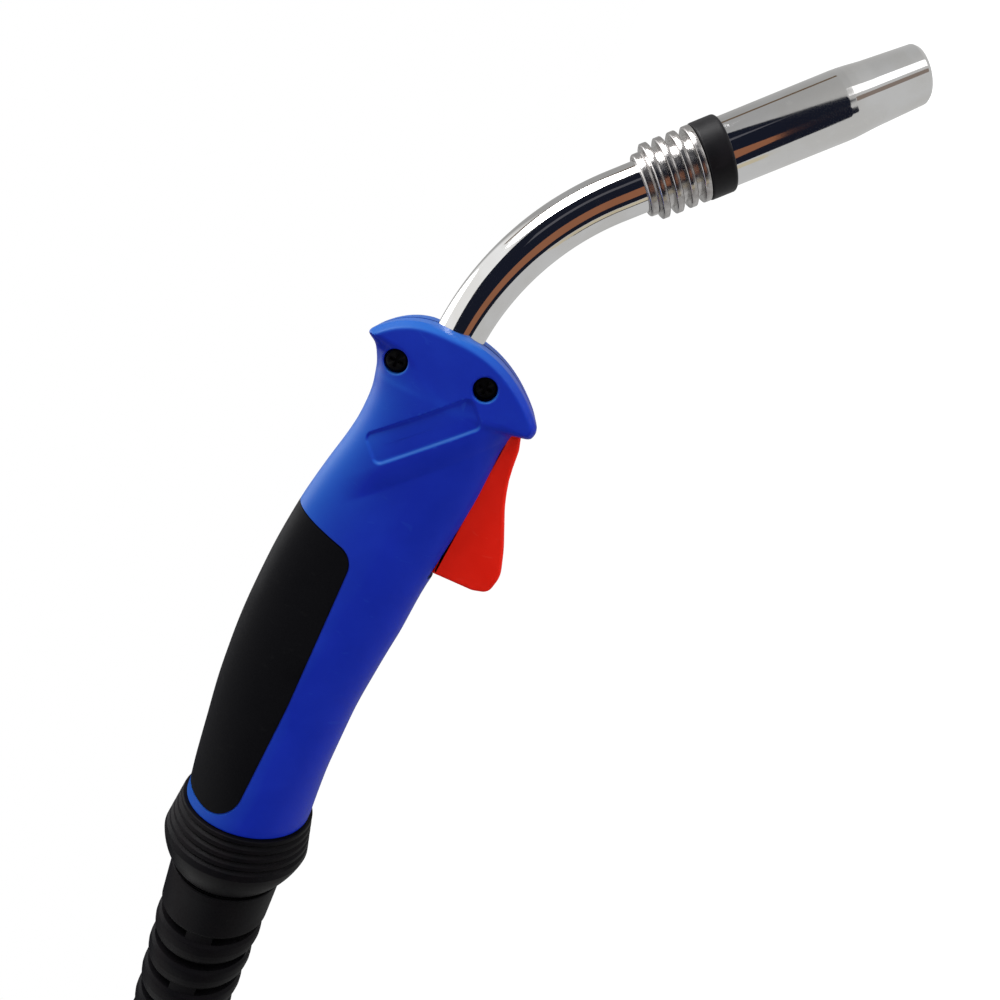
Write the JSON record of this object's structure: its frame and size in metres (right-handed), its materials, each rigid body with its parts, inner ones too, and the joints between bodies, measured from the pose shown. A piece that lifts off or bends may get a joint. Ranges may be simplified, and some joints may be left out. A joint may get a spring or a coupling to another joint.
{
  "type": "mig welding torch",
  "caption": "Hand-held gas-cooled MIG welding torch with a trigger grip, bent chromed neck, gas nozzle and ball-jointed slotted strain relief.",
  "frame": {"origin": "where the neck's bend starts on the hand grip's axis, at the hood, which is also the hand grip mount", "axes": "+X along the hand grip towards the neck, +Z towards the palm side, Y across; the neck bends and the trigger works in the X-Z plane towards -Z"},
  "size_m": [0.4643, 0.0494, 0.1192],
  "materials": {
    "shell_blue": "fine satin moulded",
    "grip_black": "soft matte",
    "screw_black": "black oxide",
    "trigger_red": "satin",
    "steel": "spring steel",
    "switch_black": "moulded",
    "brass": "turned",
    "chrome": "bright plated",
    "ptfe": "waxy",
    "copper": "drawn copper",
    "rubber": "moulded",
    "ceramic": "fired",
    "acetal": "satin",
    "ball_black": "satin"
  },
  "bodies": {
    "handle": {"shell_left": "shell_blue", "shell_right": "shell_blue", "grip_left": "grip_black", "grip_right": "grip_black", "shell_screws": "screw_black", "trigger_pin": "steel", "trigger_spring": "steel", "switch_body": "switch_black", "switch_terminals": "brass", "neck_tube": "chrome", "neck_insulation": "ptfe", "conductor_tube": "copper", "neck_block": "switch_black", "rear_nut": "brass", "o_ring": "rubber", "fin_body": "chrome", "insulator_ring": "switch_black", "nozzle_sleeve": "brass", "nozzle_spring": "steel", "gas_diffuser": "ceramic", "tip_holder": "brass"},
    "trigger": {"trigger": "trigger_red"},
    "plunger": {"switch_plunger": "trigger_red"},
    "tip": {"contact_tip": "copper"},
    "nozzle": {"gas_nozzle": "chrome"},
    "lock_ring": {"locking_ring": "switch_black"},
    "ball_seat": {"ball_seat": "acetal"},
    "boot": {"ball": "ball_black", "boot": "rubber"}
  },
  "joints": [
    {"name": "trigger_press", "type": "hinge", "parent": "handle", "child": "trigger", "pos_m": [-0.017, 0, -0.0246], "axis": [0, 1, 0], "range_deg": [0, 5], "stiffness_Nm_per_rad": 1, "springref_deg": -8.59, "deforming": ["trigger_spring"]},
    {"name": "plunger_slide", "type": "slide", "parent": "handle", "child": "plunger", "axis": [0, 0, 1], "range_m": [0, 0.0015]},
    {"name": "nozzle_pull", "type": "slide", "parent": "handle", "child": "nozzle", "axis": [0.7254, 0, -0.6884], "range_m": [0, 0.05]},
    {"name": "tip_turn", "type": "hinge", "parent": "handle", "child": "tip", "pos_m": [0.11609, 0, -0.07663], "axis": [0.7254, 0, -0.6884], "continuous": true},
    {"name": "lock_ring_turn", "type": "hinge", "parent": "handle", "child": "lock_ring", "pos_m": [-0.17497, 0, -0.0007], "axis": [-0.9962, 0, -0.0872], "continuous": true},
    {"name": "boot_swivel", "type": "hinge", "parent": "handle", "child": "ball_seat", "pos_m": [-0.17497, 0, -0.0007], "axis": [-0.9962, 0, -0.0872], "continuous": true},
    {"name": "boot_tilt", "type": "hinge", "parent": "ball_seat", "child": "boot", "pos_m": [-0.17497, 0, -0.0007], "axis": [0, 1, 0], "range_deg": [-12, 12]}
  ],
  "couplings": [
    {"joint": "plunger_slide", "follows": "trigger_press", "m_per_rad": 0.016}
  ]
}
